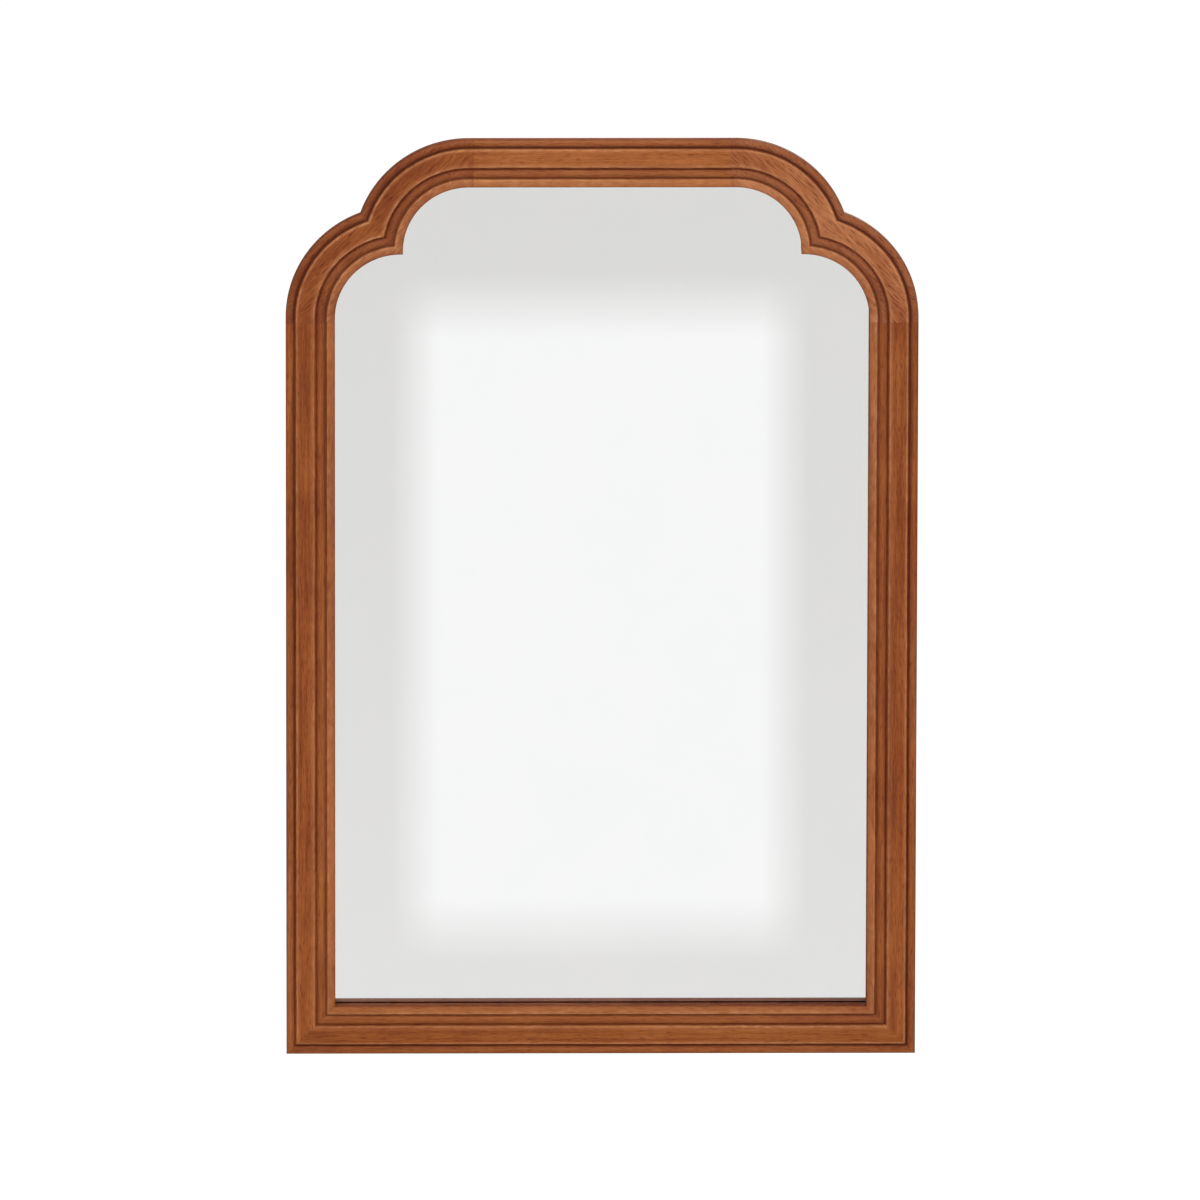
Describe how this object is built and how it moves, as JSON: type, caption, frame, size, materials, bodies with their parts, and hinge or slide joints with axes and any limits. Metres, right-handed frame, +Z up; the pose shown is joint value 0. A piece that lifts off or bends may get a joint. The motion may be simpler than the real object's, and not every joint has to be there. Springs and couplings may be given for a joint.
{
  "type": "wall mirror",
  "caption": "Portrait wall mirror in a moulded wooden frame: round stepped shoulders meeting in an inward point, mitred square foot, and hinged D-rings on the back to hang it by.",
  "frame": {"origin": "on the wall plane, midway between the two hooks that carry the frame, level with where they bear in the rings", "axes": "+X to the right seen from the front, +Z up, -Y out of the wall towards the viewer"},
  "size_m": [0.61, 0.03, 0.914],
  "materials": {
    "rail_wood": "stained walnut brown, satin lacquer, grain along the rail",
    "stile_wood": "stained walnut brown, satin lacquer, upright grain",
    "left_shoulder_wood": "stained walnut brown, satin lacquer, grain rising to the right",
    "right_shoulder_wood": "stained walnut brown, satin lacquer, grain rising to the left",
    "mirror": "silvered float glass",
    "hardboard": "bare brown hardboard",
    "beech": "bare beech",
    "block_rubber": "black neoprene",
    "bumper_rubber": "dark matt rubber",
    "hanger_steel": "zinc plated",
    "screw_steel": "zinc plated",
    "fixing_steel": "bare bright steel"
  },
  "bodies": {
    "frame": {"bottom_rail": "rail_wood", "left_stile": "stile_wood", "right_stile": "stile_wood", "left_shoulder": "left_shoulder_wood", "right_shoulder": "right_shoulder_wood", "top_rail": "rail_wood", "mirror_glass": "mirror", "backing_board": "hardboard", "glazing_points": "fixing_steel", "left_setting_block": "block_rubber", "right_setting_block": "block_rubber", "left_side_block": "block_rubber", "right_side_block": "block_rubber", "left_stile_dowels": "beech", "right_stile_dowels": "beech", "left_top_dowels": "beech", "right_top_dowels": "beech", "left_corner_biscuit": "beech", "right_corner_biscuit": "beech", "corner_v_nails": "fixing_steel", "shoulder_v_nails": "fixing_steel", "left_hanger_strap": "hanger_steel", "right_hanger_strap": "hanger_steel", "left_hanger_screws": "screw_steel", "right_hanger_screws": "screw_steel", "bumper_lower_left": "bumper_rubber", "bumper_lower_right": "bumper_rubber", "bumper_upper_left": "bumper_rubber", "bumper_upper_right": "bumper_rubber"},
    "left_ring": {"left_d_ring": "hanger_steel"},
    "right_ring": {"right_d_ring": "hanger_steel"}
  },
  "joints": [
    {"name": "left_ring_swing", "type": "hinge", "parent": "frame", "child": "left_ring", "pos_m": [-0.2825, -0.00372, -0.01546], "axis": [-1, 0, 0], "range_deg": [0, 178]},
    {"name": "right_ring_swing", "type": "hinge", "parent": "frame", "child": "right_ring", "pos_m": [0.2825, -0.00372, -0.01546], "axis": [-1, 0, 0], "range_deg": [0, 178]}
  ]
}
